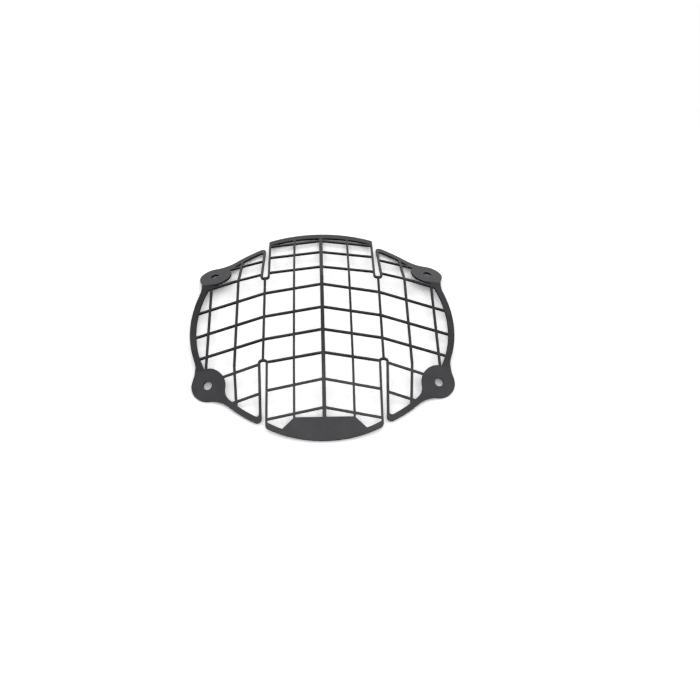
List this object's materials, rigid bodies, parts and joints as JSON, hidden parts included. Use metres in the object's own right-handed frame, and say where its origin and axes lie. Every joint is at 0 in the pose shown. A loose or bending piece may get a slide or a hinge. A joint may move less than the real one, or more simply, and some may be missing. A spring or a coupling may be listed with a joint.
{
  "type": "motorcycle headlight guard",
  "caption": "Folded sheet-steel grille that bolts in front of a headlamp: round rim, chevron bars, turned-back flaps and wings, drilled ears.",
  "frame": {"origin": "centre of the footprint on the surface the guard lies on, outer face up", "axes": "+Z out of the guard's outer face, +Y towards its top edge (away from the solid chin plate), +X to the right seen from the front"},
  "size_m": [0.2676, 0.2718, 0.0242],
  "materials": {
    "powder_coat": "satin black powder coat with a fine grain"
  },
  "bodies": {
    "root": {"guard_grille": "powder_coat"}
  },
  "joints": []
}
